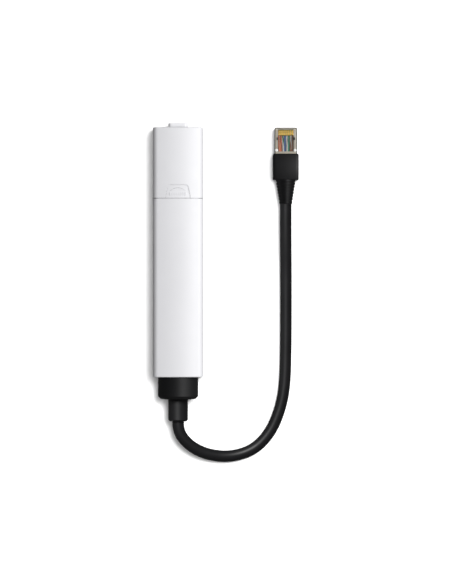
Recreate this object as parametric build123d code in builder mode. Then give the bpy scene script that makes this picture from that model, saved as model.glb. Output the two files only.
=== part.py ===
"""In-line Bluetooth audio receiver: a white stick with a pull-off cap, on a short lead with an 8P8C plug.

The stick lies on its flat back on Z = 0 and runs along Y: the button end is +Y, the lead leaves at -Y.
X is across the stick and +Z is its crowned front. The origin is under the middle of the stick.
All sizes are in millimetres.
"""

from build123d import *
from math import pi, radians, tan
import os

# ---- driving dimensions --------------------------------------------------------------------------

# stick
stick_width = 25.8
stick_depth = 24.0
front_crown = 1.5
front_radius = 3.0
back_radius = 2.0
end_rounding = 0.5
axis_z = stick_depth / 2

# lengths along the stick, measured from the middle
button_top_y = 77.2
cap_top_y = 74.9
seam_y = 38.2
sleeve_end_y = -54.2
collar_end_y = -66.0
neck_end_y = -77.2
seam_gap = 0.3

# shells
cap_wall = 1.6
cap_roof = 2.0
sleeve_wall = 2.0
end_wall = 2.4
spigot_inset = 1.85
groove_cut_out = 0.1
spigot_wall = 1.2
spigot_height = 12.8
spigot_root = 3.0
seal_width = 1.5
seal_groove = 0.6
seal_stand_off = 0.13
seal_from_top = 1.6
seal_end_play = 0.1

# release tab in the cap's front
tab_base_width = 12.7
tab_top_width = 10.0
tab_height = 6.7
tab_corner = 1.8
tab_clearance = 0.3
tab_recess = 0.1
tab_web_width = 8.0
tab_web_depth = 1.6
ear_width = 14.8
ear_length = 1.4
ear_thickness = 0.9
ear_drop = 0.8
web_foot = 0.6
window_foot = 0.3
window_width = 16.4
window_height = 8.2
relief_height = 0.12
relief_root = 0.4
arrow_half_width = 3.8
arrow_tips = 3.8
arrow_apex = 5.1
arrow_underside = 3.5
grip_bars = 8
grip_pitch = 1.1
grip_width = 0.6
grip_length = 1.7
grip_centre = 2.1

# button and pairing switch
button_width = 10.0
button_corner = 1.6
button_rounding = 0.35
button_clearance = 0.15
flange_rim = 1.1
flange_thickness = 1.0
flange_gap = 0.3
stem_radius = 2.0
stem_length = 1.9
plunger_radius = 1.2
plunger_fit = 0.05
plunger_gap = 0.1
plunger_length = 5.4
switch_length = 4.0
switch_width = 6.0
switch_face_y = 66.0
switch_bore_depth = 2.6
switch_foot_width = 0.8
switch_foot_length = 2.0

# board
board_width = 18.5
board_thickness = 1.6
board_bottom_z = 8.0
board_top_z = board_bottom_z + board_thickness
board_low_y = -34.0
board_high_y = 64.0
board_fit = 0.05
board_corner = 0.8
rail_reach = 2.5
rail_root = 0.2
rail_height = 4.6
rail_low_y = -40.0
rail_high_y = 34.0
slot_depth = 1.05

# plug and header that join the lead to the board
header_width = 13.0
header_length = 5.0
header_height = 4.6
header_wall = 0.8
header_clearance = 0.1
lead_plug_length = 6.0
lead_plug_reach = 2.0

# transformers and capacitors on the board
transformer_x = 4.1
transformer_y = -22.5
transformer_width = 7.4
transformer_length = 9.4
transformer_foot = 1.2
transformer_block = 4.2
transformer_shoulder = 0.2
transformer_terminals = 1.0
transformer_rounding = 0.4
capacitor_x = 3.9
capacitor_y = -11.5
capacitor_base = 6.6
capacitor_foot = 0.8
capacitor_radius = 3.15
capacitor_can = 5.0

# plain packages on the board: name, centre x and y, height over the board, width, length, thickness
module_lift = 0.8
packages = [
    ("power_inductor", -3.9, -2.0, 0, 7.3, 7.3, 4.2),
    ("power_converter_chip", 4.0, -2.0, 0, 5.0, 4.0, 1.5),
    ("audio_chip", 3.4, 9.0, 0, 7.0, 7.0, 0.9),
    ("crystal", -5.0, 11.0, 0, 3.2, 2.5, 0.8),
    ("memory_chip", -3.4, 19.0, 0, 5.2, 5.3, 1.7),
    ("status_led", 6.4, 61.0, 0, 1.6, 3.2, 1.1),
    ("bluetooth_module", 0, 45.0, 0, 12.5, 24.0, module_lift),
    ("module_shield", 0, 41.4, module_lift, 11.5, 15.2, 2.2),
    ("module_antenna", 0, 53.6, module_lift, 7.0, 2.0, 1.0),
]

# small passives in regular fields: centre, pitch across and along, columns, rows
passive_width = 0.9
passive_length = 1.6
passive_height = 0.8
passive_fields = [((4.2, 19.5), 2.1, 2.4, 3, 3), ((0, 27.0), 2.2, 1, 6, 1)]

# gland, neck and lead inside the stick
collar_radius = 10.4
collar_chamfer = 1.4
collar_slope = 0.4
gland_radius = 7.0
gland_bore = 4.5
nut_across_flats = 17.0
nut_thickness = 3.4
thread_length = 3.6
neck_radius = 5.1
neck_chamfer = 0.8
neck_stem_radius = 4.45
neck_flange_radius = 5.6
neck_flange = 1.2
cable_diameter = 6.0
cable_radius = cable_diameter / 2
cable_fit = 0.05
clamp_length = 3.4
clamp_wall = 0.9
clamp_gap = 0.2
tail_end_y = -42.4
wire_radius = 0.45
pair_offset = 1.1
pair_gap = 0.06
pair_straight = 1.6
pair_bend = 1.0

# plug on the lead
plug_x = 55.85
plug_z = 7.2
plug_nose_y = 75.1
plug_width = 11.68
plug_length = 21.46
plug_height = 6.6
plug_edge = 0.3
plug_fit = 0.2
jacket_end_y = 58.0
jacket_room = 0.1
jacket_pocket_width = 9.0
jacket_pocket_flat = 0.4
jacket_pocket_reach = 4.0
wire_depth = 2.2
wire_from_jacket = 0.1
wire_from_contact = 0.05
wire_from_slot_end = 0.3
wire_channel_height = 1.3
wire_channel_margin = 0.15
contact_pitch = 1.02
contact_count = 8
contact_width = 0.6
contact_slot = 0.76
contact_slot_margin = 0.1
contact_depth = 3.0
contact_recess = 0.35
contact_low_y = 71.0
contact_high_y = 73.5
load_bar_width = 8.6
load_bar_thickness = 1.2
load_bar_low_y = 62.2
load_bar_high_y = 70.2
load_bar_gap = 0.1
hood_width = 13.4
hood_low_y = 48.0
hood_high_y = 61.5
hood_height = 12.6
hood_rounding = 0.6
hood_chamfer = 0.6
hood_floor = 0.3
hood_shelf = 1.0
tail_base_radius = 5.3
tail_tip_radius = 3.35
tail_tip_y = 35.5
rib_pitch = 1.6
rib_start = 0.9
rib_height = 0.3
rib_count = 7
latch_thickness = 0.9
latch_gap = 0.15
latch_drop = 2.3
latch_nose_y = 73.2
latch_tip_y = 57.6
latch_wide = 6.0
latch_narrow = 3.2
latch_tongue_length = 8.0
latch_slot_width = 8.0
latch_slot_length = 5.0

# Lead from the neck to the boot's tip. It drops to the table, turns back in a wide U and runs straight.
cable_route = [
    (0, neck_end_y, axis_z),
    (0, -81.0, 11.9),
    (2.3, -86.1, 11.2),
    (7.8, -91.2, 9.6),
    (15.9, -94.8, 6.9),
    (27.2, -96.0, 4.2),
    (39.2, -92.4, 3.1),
    (47.6, -83.8, 3.05),
    (52.6, -72.6, 3.05),
    (55.4, -60.0, 3.05),
    (56.0, -40.0, 3.1),
    (56.05, -2.0, 4.0),
    (55.85, 18.0, 6.7),
    (plug_x, tail_tip_y, plug_z),
]

os.makedirs("parts", exist_ok=True)


# ---- helpers -------------------------------------------------------------------------------------


def cross_plane(y, x=0.0, z=0.0):
    """A plane across the stick at y: sketch x is X, sketch y is Z, and extruding runs towards -Y."""
    return Plane(origin=(x, y, z), x_dir=(1, 0, 0), z_dir=(0, -1, 0))


def stick_section(inset=0.0):
    """Cross-section of the stick: flat back, lightly crowned front, rounded long edges."""
    half = stick_width / 2
    shoulder = stick_depth - front_crown
    with BuildSketch() as section:
        with BuildLine():
            Polyline((-half, shoulder), (-half, 0), (half, 0), (half, shoulder))
            ThreePointArc((half, shoulder), (0, stick_depth), (-half, shoulder))
        make_face()
        fillet(section.vertices().group_by(Axis.Y)[0], back_radius)
        fillet(section.vertices().group_by(Axis.Y)[-1], front_radius)
        if inset:
            offset(amount=-inset)
    return section.sketch


def button_section(growth=0.0):
    """Cross-section of the button: a square with round corners on the stick's axis, grown all round."""
    with BuildSketch() as section:
        with Locations((0, axis_z)):
            side = button_width + 2 * growth
            RectangleRounded(side, side, button_corner + growth)
    return section.sketch


def tab_outline(clearance=0.0):
    """Trapezoid of the release tab, with its base on the cap's lower edge and rounded top corners."""
    low, high = cap_low_y, cap_low_y + tab_height
    with BuildSketch() as outline:
        with BuildLine():
            Polyline(
                (-tab_base_width / 2, low),
                (tab_base_width / 2, low),
                (tab_top_width / 2, high),
                (-tab_top_width / 2, high),
                close=True,
            )
        make_face()
        fillet(outline.vertices().group_by(Axis.Y)[-1], tab_corner)
        if clearance:
            offset(amount=clearance)
    return outline.sketch


def write(piece, name):
    """Label a finished piece and write it as parts/name.step."""
    piece.part.label = name
    export_step(piece.part, f"parts/{name}.step")


def corner_radius(points, i):
    """Largest arc that the two runs beside corner i allow, and the angle turned there in degrees."""
    before = Vector(points[i]) - Vector(points[i - 1])
    after = Vector(points[i + 1]) - Vector(points[i])
    turn = before.get_angle(after)
    return 0.45 * min(before.length, after.length) / tan(radians(turn) / 2), turn


cap_low_y = seam_y + seam_gap / 2
sleeve_top_y = seam_y - seam_gap / 2
spigot_top_y = sleeve_top_y + spigot_height
stick_axis = Axis((0, 0, axis_z), (0, 1, 0))
axial_plane = Plane.XY.offset(axis_z)

# ---- stick shells --------------------------------------------------------------------------------

with BuildPart() as main_sleeve:
    sleeve_length = sleeve_top_y - sleeve_end_y
    with BuildSketch(cross_plane(sleeve_top_y)):
        add(stick_section())
    extrude(amount=sleeve_length)
    fillet(main_sleeve.faces().sort_by(Axis.Y)[0].edges(), end_rounding)
    with BuildSketch(cross_plane(sleeve_top_y)):
        add(stick_section(sleeve_wall))
    extrude(amount=sleeve_length - end_wall, mode=Mode.SUBTRACT)
    # spigot that the cap slides over
    with BuildSketch(cross_plane(spigot_top_y)):
        add(stick_section(spigot_inset))
        add(stick_section(spigot_inset + spigot_wall), mode=Mode.SUBTRACT)
    extrude(amount=spigot_height + spigot_root)
    # groove for the cap seal
    with BuildSketch(cross_plane(spigot_top_y - seal_from_top)):
        add(stick_section(spigot_inset - groove_cut_out))
        add(stick_section(spigot_inset + seal_groove), mode=Mode.SUBTRACT)
    extrude(amount=seal_width, mode=Mode.SUBTRACT)
    # window in the spigot's front for the release tab
    with BuildSketch(Plane.XY.offset(axis_z)):
        with Locations((0, cap_low_y + window_foot + window_height / 2)):
            Rectangle(window_width, window_height)
    extrude(amount=stick_depth, mode=Mode.SUBTRACT)
    # rails that hold the board's edges
    rail_outer = stick_width / 2 - sleeve_wall
    rail_x = rail_outer - rail_reach / 2 + rail_root / 2
    rail_z = board_bottom_z + board_thickness / 2
    with BuildSketch(cross_plane(rail_high_y)):
        with Locations((-rail_x, rail_z), (rail_x, rail_z)):
            Rectangle(rail_reach + rail_root, rail_height)
        with Locations((0, rail_z)):
            slot_width = 2 * (rail_outer - rail_reach + slot_depth)
            Rectangle(slot_width, board_thickness + 2 * board_fit, mode=Mode.SUBTRACT)
    extrude(amount=rail_high_y - rail_low_y)
    # hole for the gland
    with BuildSketch(cross_plane(sleeve_end_y + end_wall + 1)):
        with Locations((0, axis_z)):
            Circle(gland_radius + cable_fit)
    extrude(amount=end_wall + 2, mode=Mode.SUBTRACT)
write(main_sleeve, "main_sleeve")

with BuildPart() as cap_shell:
    cap_length = cap_top_y - cap_low_y
    with BuildSketch(cross_plane(cap_top_y)):
        add(stick_section())
    extrude(amount=cap_length)
    fillet(cap_shell.faces().sort_by(Axis.Y)[-1].edges(), end_rounding)
    with BuildSketch(cross_plane(cap_top_y - cap_roof)):
        add(stick_section(cap_wall))
    extrude(amount=cap_length - cap_roof, mode=Mode.SUBTRACT)
    with BuildSketch(cross_plane(cap_top_y + 1)):
        add(button_section(button_clearance))
    extrude(amount=cap_roof + 2, mode=Mode.SUBTRACT)
    with BuildSketch(Plane.XY.offset(axis_z)):
        add(tab_outline(tab_clearance))
    extrude(amount=stick_depth, mode=Mode.SUBTRACT)
write(cap_shell, "cap_shell")

with BuildPart() as cap_seal:
    with BuildSketch(cross_plane(spigot_top_y - seal_from_top - seal_end_play)):
        add(stick_section(spigot_inset - seal_stand_off))
        add(stick_section(spigot_inset + seal_groove), mode=Mode.SUBTRACT)
    extrude(amount=seal_width - 2 * seal_end_play)
write(cap_seal, "cap_seal")

# ---- release tab ---------------------------------------------------------------------------------

cap_inner_z = stick_depth - cap_wall
ear_top_z = cap_inner_z - ear_drop
tab_top_y = cap_low_y + tab_height
tab_front_z = stick_depth - tab_recess

with BuildPart() as release_tab:
    with BuildSketch(Plane.XY.offset(cap_inner_z)):
        add(tab_outline())
    extrude(amount=stick_depth - cap_inner_z)
    with BuildSketch(cross_plane(tab_top_y + 1)):
        add(stick_section(tab_recess))
    extrude(amount=tab_height + 2, mode=Mode.INTERSECT)
    # web and ears behind the tab: the ears reach under the cap's wall on both sides
    with BuildSketch(Plane.XY.offset(cap_inner_z)):
        with Locations((0, (cap_low_y + web_foot + tab_top_y) / 2)):
            Rectangle(tab_web_width, tab_height - web_foot)
    extrude(amount=-tab_web_depth)
    with BuildSketch(Plane.XY.offset(ear_top_z)):
        with Locations((0, tab_top_y - ear_length / 2)):
            Rectangle(ear_width, ear_length)
    extrude(amount=-ear_thickness)
    # raised crescent arrow that points up the cap, and a row of grip bars under it
    with BuildSketch(Plane.XY.offset(tab_front_z - relief_root)):
        left_tip = (-arrow_half_width, cap_low_y + arrow_tips)
        right_tip = (arrow_half_width, cap_low_y + arrow_tips)
        with BuildLine():
            ThreePointArc(left_tip, (0, cap_low_y + arrow_apex), right_tip)
            ThreePointArc(right_tip, (0, cap_low_y + arrow_underside), left_tip)
        make_face()
        with Locations((0, cap_low_y + grip_centre)):
            with GridLocations(grip_pitch, 1, grip_bars, 1):
                RectangleRounded(grip_width, grip_length, grip_width / 2.5)
    extrude(amount=relief_height + relief_root)
write(release_tab, "release_tab")

# ---- button and pairing switch -------------------------------------------------------------------

roof_y = cap_top_y - cap_roof
flange_top_y = roof_y - flange_gap
stem_tip_y = flange_top_y - flange_thickness - stem_length
plunger_top_y = stem_tip_y - plunger_gap

with BuildPart() as pairing_button:
    with BuildSketch(cross_plane(button_top_y)):
        add(button_section())
    extrude(amount=button_top_y - flange_top_y)
    fillet(pairing_button.faces().sort_by(Axis.Y)[-1].edges(), button_rounding)
    with BuildSketch(cross_plane(flange_top_y)):
        add(button_section(flange_rim))
    extrude(amount=flange_thickness)
    with BuildSketch(cross_plane(flange_top_y - flange_thickness)):
        with Locations((0, axis_z)):
            Circle(stem_radius)
    extrude(amount=stem_length)
write(pairing_button, "pairing_button")

with BuildPart() as switch_plunger:
    with BuildSketch(cross_plane(plunger_top_y)):
        with Locations((0, axis_z)):
            Circle(plunger_radius)
    extrude(amount=plunger_length)
write(switch_plunger, "switch_plunger")

with BuildPart() as switch_body:
    switch_height = 2 * (axis_z - board_top_z)
    with BuildSketch(cross_plane(switch_face_y)):
        with Locations((0, axis_z)):
            Rectangle(switch_width, switch_height)
    extrude(amount=switch_length)
    with BuildSketch(cross_plane(switch_face_y)):
        with Locations((0, axis_z)):
            Circle(plunger_radius + plunger_fit)
    extrude(amount=switch_bore_depth, mode=Mode.SUBTRACT)
    # the sides run back over the board as mounting feet
    with BuildSketch(Plane.XY.offset(board_top_z)):
        for side in (-1, 1):
            foot_x = side * (switch_width - switch_foot_width) / 2
            with Locations((foot_x, switch_face_y - switch_length - switch_foot_length / 2)):
                Rectangle(switch_foot_width, switch_foot_length)
    extrude(amount=switch_height / 2)
write(switch_body, "switch_body")

# ---- board and what is on it ---------------------------------------------------------------------

with BuildPart() as main_board:
    with BuildSketch(Plane.XY.offset(board_bottom_z)):
        with Locations((0, (board_low_y + board_high_y) / 2)):
            RectangleRounded(board_width, board_high_y - board_low_y, board_corner)
    extrude(amount=board_thickness)
write(main_board, "main_board")

# header for the lead's plug, open towards the lead
pocket_z = board_top_z + header_height / 2
pocket_width = header_width - 2 * header_wall
pocket_height = header_height - 2 * header_wall
lead_plug_rear_y = board_low_y - lead_plug_reach

with BuildPart() as lead_header:
    with BuildSketch(Plane.XY.offset(board_top_z)):
        with Locations((0, board_low_y + header_length / 2)):
            Rectangle(header_width, header_length)
    extrude(amount=header_height)
    with BuildSketch(cross_plane(board_low_y + header_length - header_wall)):
        with Locations((0, pocket_z)):
            Rectangle(pocket_width, pocket_height)
    extrude(amount=header_length, mode=Mode.SUBTRACT)
write(lead_header, "lead_header")

with BuildPart() as lead_plug:
    with BuildSketch(cross_plane(lead_plug_rear_y + lead_plug_length)):
        with Locations((0, pocket_z)):
            Rectangle(pocket_width - 2 * header_clearance, pocket_height - 2 * header_clearance)
    extrude(amount=lead_plug_length)
write(lead_plug, "lead_plug")

# two isolating transformers, side by side: a foot with a moulded block on it
for name, side in (("line_transformer_left", -1), ("line_transformer_right", 1)):
    with BuildPart() as line_transformer:
        with BuildSketch(Plane.XY.offset(board_top_z)):
            with Locations((side * transformer_x, transformer_y)):
                Rectangle(transformer_width, transformer_length)
        extrude(amount=transformer_foot)
        with BuildSketch(Plane.XY.offset(board_top_z + transformer_foot)):
            with Locations((side * transformer_x, transformer_y)):
                Rectangle(
                    transformer_width - 2 * transformer_shoulder, transformer_length - 2 * transformer_terminals
                )
        extrude(amount=transformer_block)
        fillet(line_transformer.faces().sort_by(Axis.Z)[-1].edges(), transformer_rounding)
    write(line_transformer, name)

capacitor_places = [(-capacitor_x, capacitor_y), (capacitor_x, capacitor_y)]
with BuildPart() as filter_capacitors:
    with BuildSketch(Plane.XY.offset(board_top_z)):
        with Locations(*capacitor_places):
            Rectangle(capacitor_base, capacitor_base)
    extrude(amount=capacitor_foot)
    with BuildSketch(Plane.XY.offset(board_top_z + capacitor_foot)):
        with Locations(*capacitor_places):
            Circle(capacitor_radius)
    extrude(amount=capacitor_can)
write(filter_capacitors, "filter_capacitors")

for name, x, y, z, width, length, height in packages:
    with BuildPart() as package:
        with BuildSketch(Plane.XY.offset(board_top_z + z)):
            with Locations((x, y)):
                Rectangle(width, length)
        extrude(amount=height)
    write(package, name)

with BuildPart() as passive_components:
    with BuildSketch(Plane.XY.offset(board_top_z)):
        for centre, pitch_x, pitch_y, columns, rows in passive_fields:
            with Locations(centre):
                with GridLocations(pitch_x, pitch_y, columns, rows):
                    Rectangle(passive_width, passive_length)
    extrude(amount=passive_height)
write(passive_components, "passive_components")

# ---- gland, neck and the lead's end inside the stick ----------------------------------------------

gland_top_y = sleeve_end_y + end_wall + thread_length

with BuildPart() as end_collar:
    with BuildSketch(axial_plane):
        with BuildLine():
            Polyline(
                (gland_bore, gland_top_y),
                (gland_radius, gland_top_y),
                (gland_radius, sleeve_end_y),
                (collar_radius, sleeve_end_y),
                (collar_radius, collar_end_y + collar_slope + collar_chamfer),
                (collar_radius - collar_chamfer, collar_end_y + collar_slope),
                (neck_radius, collar_end_y),
                (gland_bore, collar_end_y),
                close=True,
            )
        make_face()
    revolve(axis=stick_axis)
write(end_collar, "end_collar")

with BuildPart() as gland_nut:
    nut_top_y = sleeve_end_y + end_wall + nut_thickness
    with BuildSketch(cross_plane(nut_top_y)):
        with Locations((0, axis_z)):
            RegularPolygon(nut_across_flats / 2, 6, major_radius=False, rotation=30)
            Circle(gland_radius + cable_fit, mode=Mode.SUBTRACT)
    extrude(amount=nut_thickness - cable_fit)
write(gland_nut, "gland_nut")

with BuildPart() as strain_relief:
    with BuildSketch(axial_plane):
        with BuildLine():
            Polyline(
                (cable_radius + cable_fit, neck_end_y),
                (neck_radius - neck_chamfer, neck_end_y),
                (neck_radius, neck_end_y + neck_chamfer),
                (neck_radius, collar_end_y),
                (neck_stem_radius, collar_end_y),
                (neck_stem_radius, gland_top_y),
                (neck_flange_radius, gland_top_y),
                (neck_flange_radius, gland_top_y + neck_flange),
                (cable_radius + cable_fit, gland_top_y + neck_flange),
                close=True,
            )
        make_face()
    revolve(axis=stick_axis)
write(strain_relief, "strain_relief")

with BuildPart() as cable_clamp:
    with BuildSketch(cross_plane(gland_top_y + neck_flange + clamp_gap + clamp_length)):
        with Locations((0, axis_z)):
            Circle(cable_radius + clamp_wall)
            Circle(cable_radius + cable_fit, mode=Mode.SUBTRACT)
    extrude(amount=clamp_length)
write(cable_clamp, "cable_clamp")

with BuildPart() as cable_tail:
    with BuildSketch(cross_plane(tail_end_y)):
        with Locations((0, axis_z)):
            Circle(cable_radius)
    extrude(amount=tail_end_y - neck_end_y)
write(cable_tail, "cable_tail")

# four pairs fan out from the jacket's end to the header plug; each is two insulated wires
pairs = [("orange", -1, 1, -4.2), ("green", -1, -1, -1.4), ("blue", 1, -1, 1.4), ("brown", 1, 1, 4.2)]
for colour, side, level, pin_x in pairs:
    with BuildPart() as inner_pair:
        for wire_side in (-1, 1):
            wire_offset = wire_side * (wire_radius + pair_gap / 2)
            start_x = side * pair_offset
            start_z = axis_z + level * pair_offset + wire_offset
            end_z = pocket_z + wire_offset
            with BuildLine() as wire_path:
                FilletPolyline(
                    (start_x, tail_end_y, start_z),
                    (start_x, tail_end_y + pair_straight, start_z),
                    (pin_x, lead_plug_rear_y - pair_straight, end_z),
                    (pin_x, lead_plug_rear_y, end_z),
                    radius=pair_bend,
                )
            with BuildSketch(cross_plane(tail_end_y, start_x, start_z)):
                Circle(wire_radius)
            sweep(path=wire_path.line)
    write(inner_pair, f"inner_pair_{colour}")

# ---- free lead -----------------------------------------------------------------------------------

route_corners = [corner_radius(cable_route, i) for i in range(1, len(cable_route) - 1)]
with BuildPart() as cable:
    with BuildLine() as cable_path:
        FilletPolyline(*cable_route, radius=[radius for radius, turn in route_corners])
    with BuildSketch(Plane(cable_path.line @ 0, z_dir=cable_path.line % 0)):
        Circle(cable_radius)
    sweep(path=cable_path.line)
write(cable, "cable")

route_length = cable_path.wire().length
straight_volume = pi * cable_radius**2 * route_length
print(f"lead: centre line {route_length:.1f} mm, volume {cable.part.volume:.0f} mm3")
print(f"lead: section times length {straight_volume:.0f} mm3")
for i, (radius, turn) in enumerate(route_corners, start=1):
    print(f"corner {i}: radius {radius:.1f} mm, turn {turn:.1f} degrees")

# ---- plug on the lead's end ----------------------------------------------------------------------

plug_rear_y = plug_nose_y - plug_length
plug_bottom_z = plug_z - plug_height / 2
plug_top_z = plug_z + plug_height / 2
pocket_rear_y = plug_rear_y - hood_floor
contact_mid_y = (contact_low_y + contact_high_y) / 2
wire_plane_z = plug_top_z - wire_depth
load_bar_z = wire_plane_z - wire_radius - load_bar_gap - load_bar_thickness / 2

with BuildPart() as plug_body:
    with BuildSketch(cross_plane(plug_nose_y, plug_x, plug_z)):
        Rectangle(plug_width, plug_height)
    extrude(amount=plug_length)
    fillet(plug_body.edges().filter_by(Axis.Y), plug_edge)
    # room for the jacket at the rear, then a flat channel for the wires with a seat for the load bar
    jacket_pocket_radius = cable_radius + jacket_room
    with BuildSketch(cross_plane(jacket_end_y + jacket_pocket_reach, plug_x, plug_z)):
        Rectangle(jacket_pocket_width, 2 * (jacket_pocket_radius - jacket_pocket_flat))
        Circle(jacket_pocket_radius)
    extrude(amount=plug_length, mode=Mode.SUBTRACT)
    with BuildSketch(cross_plane(contact_high_y, plug_x, wire_plane_z)):
        Rectangle(contact_count * contact_pitch + 2 * wire_channel_margin, wire_channel_height)
    extrude(amount=plug_length, mode=Mode.SUBTRACT)
    with BuildSketch(cross_plane(load_bar_high_y + load_bar_gap, plug_x, load_bar_z)):
        Rectangle(load_bar_width + 2 * load_bar_gap, load_bar_thickness + 2 * load_bar_gap)
    extrude(amount=plug_length, mode=Mode.SUBTRACT)
    # slots in the upper face for the contacts
    with BuildSketch(Plane.XY.offset(plug_top_z - contact_depth)):
        with Locations((plug_x, contact_mid_y)):
            with GridLocations(contact_pitch, 1, contact_count, 1):
                Rectangle(contact_slot, contact_high_y - contact_low_y + 2 * contact_slot_margin)
    extrude(amount=plug_height, mode=Mode.SUBTRACT)
write(plug_body, "plug_body")

with BuildPart() as plug_contacts:
    contact_bottom_z = wire_plane_z + wire_radius + wire_from_contact
    with BuildSketch(Plane.XY.offset(contact_bottom_z)):
        with Locations((plug_x, contact_mid_y)):
            with GridLocations(contact_pitch, 1, contact_count, 1):
                Rectangle(contact_width, contact_high_y - contact_low_y)
    extrude(amount=plug_top_z - contact_recess - contact_bottom_z)
write(plug_contacts, "plug_contacts")

wire_top_y = contact_high_y - wire_from_slot_end
for number in range(contact_count):
    wire_x = plug_x + (number - (contact_count - 1) / 2) * contact_pitch
    with BuildPart() as plug_wire:
        with BuildSketch(cross_plane(wire_top_y, wire_x, wire_plane_z)):
            Circle(wire_radius)
        extrude(amount=wire_top_y - jacket_end_y - wire_from_jacket)
    write(plug_wire, f"plug_wire_{number + 1}")

with BuildPart() as plug_load_bar:
    with BuildSketch(cross_plane(load_bar_high_y, plug_x, load_bar_z)):
        Rectangle(load_bar_width, load_bar_thickness)
    extrude(amount=load_bar_high_y - load_bar_low_y)
write(plug_load_bar, "plug_load_bar")

with BuildPart() as cable_plug_end:
    with BuildSketch(cross_plane(jacket_end_y, plug_x, plug_z)):
        Circle(cable_radius)
    extrude(amount=jacket_end_y - tail_tip_y)
write(cable_plug_end, "cable_plug_end")

with BuildPart() as plug_boot:
    with BuildSketch(Plane.XY):
        with Locations((plug_x, (hood_low_y + hood_high_y) / 2)):
            Rectangle(hood_width, hood_high_y - hood_low_y)
    extrude(amount=hood_height)
    fillet(plug_boot.edges().filter_by(Axis.Z), hood_rounding)
    chamfer(plug_boot.faces().sort_by(Axis.Z)[-1].edges(), hood_chamfer)
    # tapered tail
    with BuildSketch(cross_plane(hood_low_y, plug_x, plug_z)):
        Circle(tail_base_radius)
    with BuildSketch(cross_plane(tail_tip_y, plug_x, plug_z)):
        Circle(tail_tip_radius)
    loft()
    # ribs round the tail, smaller towards the tip
    for rib in range(rib_count):
        rib_y = hood_low_y - rib_start - rib * rib_pitch
        share = (hood_low_y - rib_y) / (hood_low_y - tail_tip_y)
        rib_radius = tail_base_radius + share * (tail_tip_radius - tail_base_radius) + rib_height
        with BuildSketch(cross_plane(rib_y, plug_x, plug_z)):
            Circle(min(rib_radius, tail_base_radius))
        extrude(amount=rib_pitch / 2)
    # pocket for the plug, bore for the cable, slot for the latch
    with BuildSketch(cross_plane(hood_high_y + hood_shelf, plug_x, plug_z)):
        Rectangle(plug_width + 2 * plug_fit, plug_height + 2 * plug_fit)
    extrude(amount=hood_high_y + hood_shelf - pocket_rear_y, mode=Mode.SUBTRACT)
    with BuildSketch(cross_plane(pocket_rear_y + hood_shelf, plug_x, plug_z)):
        Circle(cable_radius + cable_fit)
    extrude(amount=pocket_rear_y + 2 * hood_shelf - tail_tip_y, mode=Mode.SUBTRACT)
    with BuildSketch(Plane.XY):
        with Locations((plug_x, hood_high_y - latch_slot_length / 2)):
            Rectangle(latch_slot_width, latch_slot_length)
    extrude(amount=plug_bottom_z, mode=Mode.SUBTRACT)
write(plug_boot, "plug_boot")

# sprung latch under the plug, from its nose back into the hood's slot
latch_top_z = plug_bottom_z - latch_gap
with BuildPart() as plug_latch:
    with BuildSketch(Plane.YZ.offset(plug_x)):
        with BuildLine():
            Polyline(
                (latch_nose_y, latch_top_z),
                (latch_tip_y, latch_top_z - latch_drop),
                (latch_tip_y, latch_top_z - latch_drop - latch_thickness),
                (latch_nose_y, latch_top_z - latch_thickness),
                close=True,
            )
        make_face()
    extrude(amount=latch_wide / 2, both=True)
    # behind the shoulders the latch is a narrow tongue
    with BuildSketch(Plane.XY):
        for side in (-1, 1):
            shoulder_x = plug_x + side * (latch_narrow + latch_wide) / 4
            with Locations((shoulder_x, latch_tip_y + latch_tongue_length / 2)):
                Rectangle((latch_wide - latch_narrow) / 2, latch_tongue_length)
    extrude(amount=plug_bottom_z, mode=Mode.SUBTRACT)
write(plug_latch, "plug_latch")
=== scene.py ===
"""Looks of the in-line Bluetooth receiver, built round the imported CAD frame. All lengths are in metres."""

import math

import bmesh
import bpy
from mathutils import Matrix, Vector


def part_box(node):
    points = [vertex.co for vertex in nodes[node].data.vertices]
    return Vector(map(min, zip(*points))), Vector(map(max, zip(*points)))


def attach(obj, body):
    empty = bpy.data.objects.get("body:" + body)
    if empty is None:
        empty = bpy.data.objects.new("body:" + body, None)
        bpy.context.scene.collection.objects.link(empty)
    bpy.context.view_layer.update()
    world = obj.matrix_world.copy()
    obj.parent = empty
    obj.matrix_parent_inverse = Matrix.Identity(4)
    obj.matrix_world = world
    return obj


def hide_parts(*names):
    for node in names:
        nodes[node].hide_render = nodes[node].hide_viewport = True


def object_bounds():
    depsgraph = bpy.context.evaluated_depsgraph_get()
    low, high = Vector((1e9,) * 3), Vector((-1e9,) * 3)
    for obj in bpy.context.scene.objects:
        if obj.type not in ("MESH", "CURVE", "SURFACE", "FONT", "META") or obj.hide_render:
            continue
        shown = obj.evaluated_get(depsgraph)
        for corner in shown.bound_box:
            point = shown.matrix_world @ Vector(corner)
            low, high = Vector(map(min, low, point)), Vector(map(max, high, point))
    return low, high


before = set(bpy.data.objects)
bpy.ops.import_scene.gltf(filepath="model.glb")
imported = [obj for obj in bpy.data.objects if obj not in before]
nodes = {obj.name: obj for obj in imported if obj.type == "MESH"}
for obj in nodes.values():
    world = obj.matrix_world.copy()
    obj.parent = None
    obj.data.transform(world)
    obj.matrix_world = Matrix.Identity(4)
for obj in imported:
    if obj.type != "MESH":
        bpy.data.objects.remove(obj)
cad_low, cad_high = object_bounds()

MM = 0.001

# ---- camera --------------------------------------------------------------------------------------

# straight down on the object, with a long lens
VIEW_HEIGHT = 302.8 * MM
VIEW_PLANE = 11 * MM
CAMERA_DISTANCE = 2.5
SENSOR = 36.0
VIEW_CENTRE = Vector(((cad_low.x + cad_high.x) / 2, (cad_low.y + cad_high.y) / 2 + 0.5 * MM, VIEW_PLANE))

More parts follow.
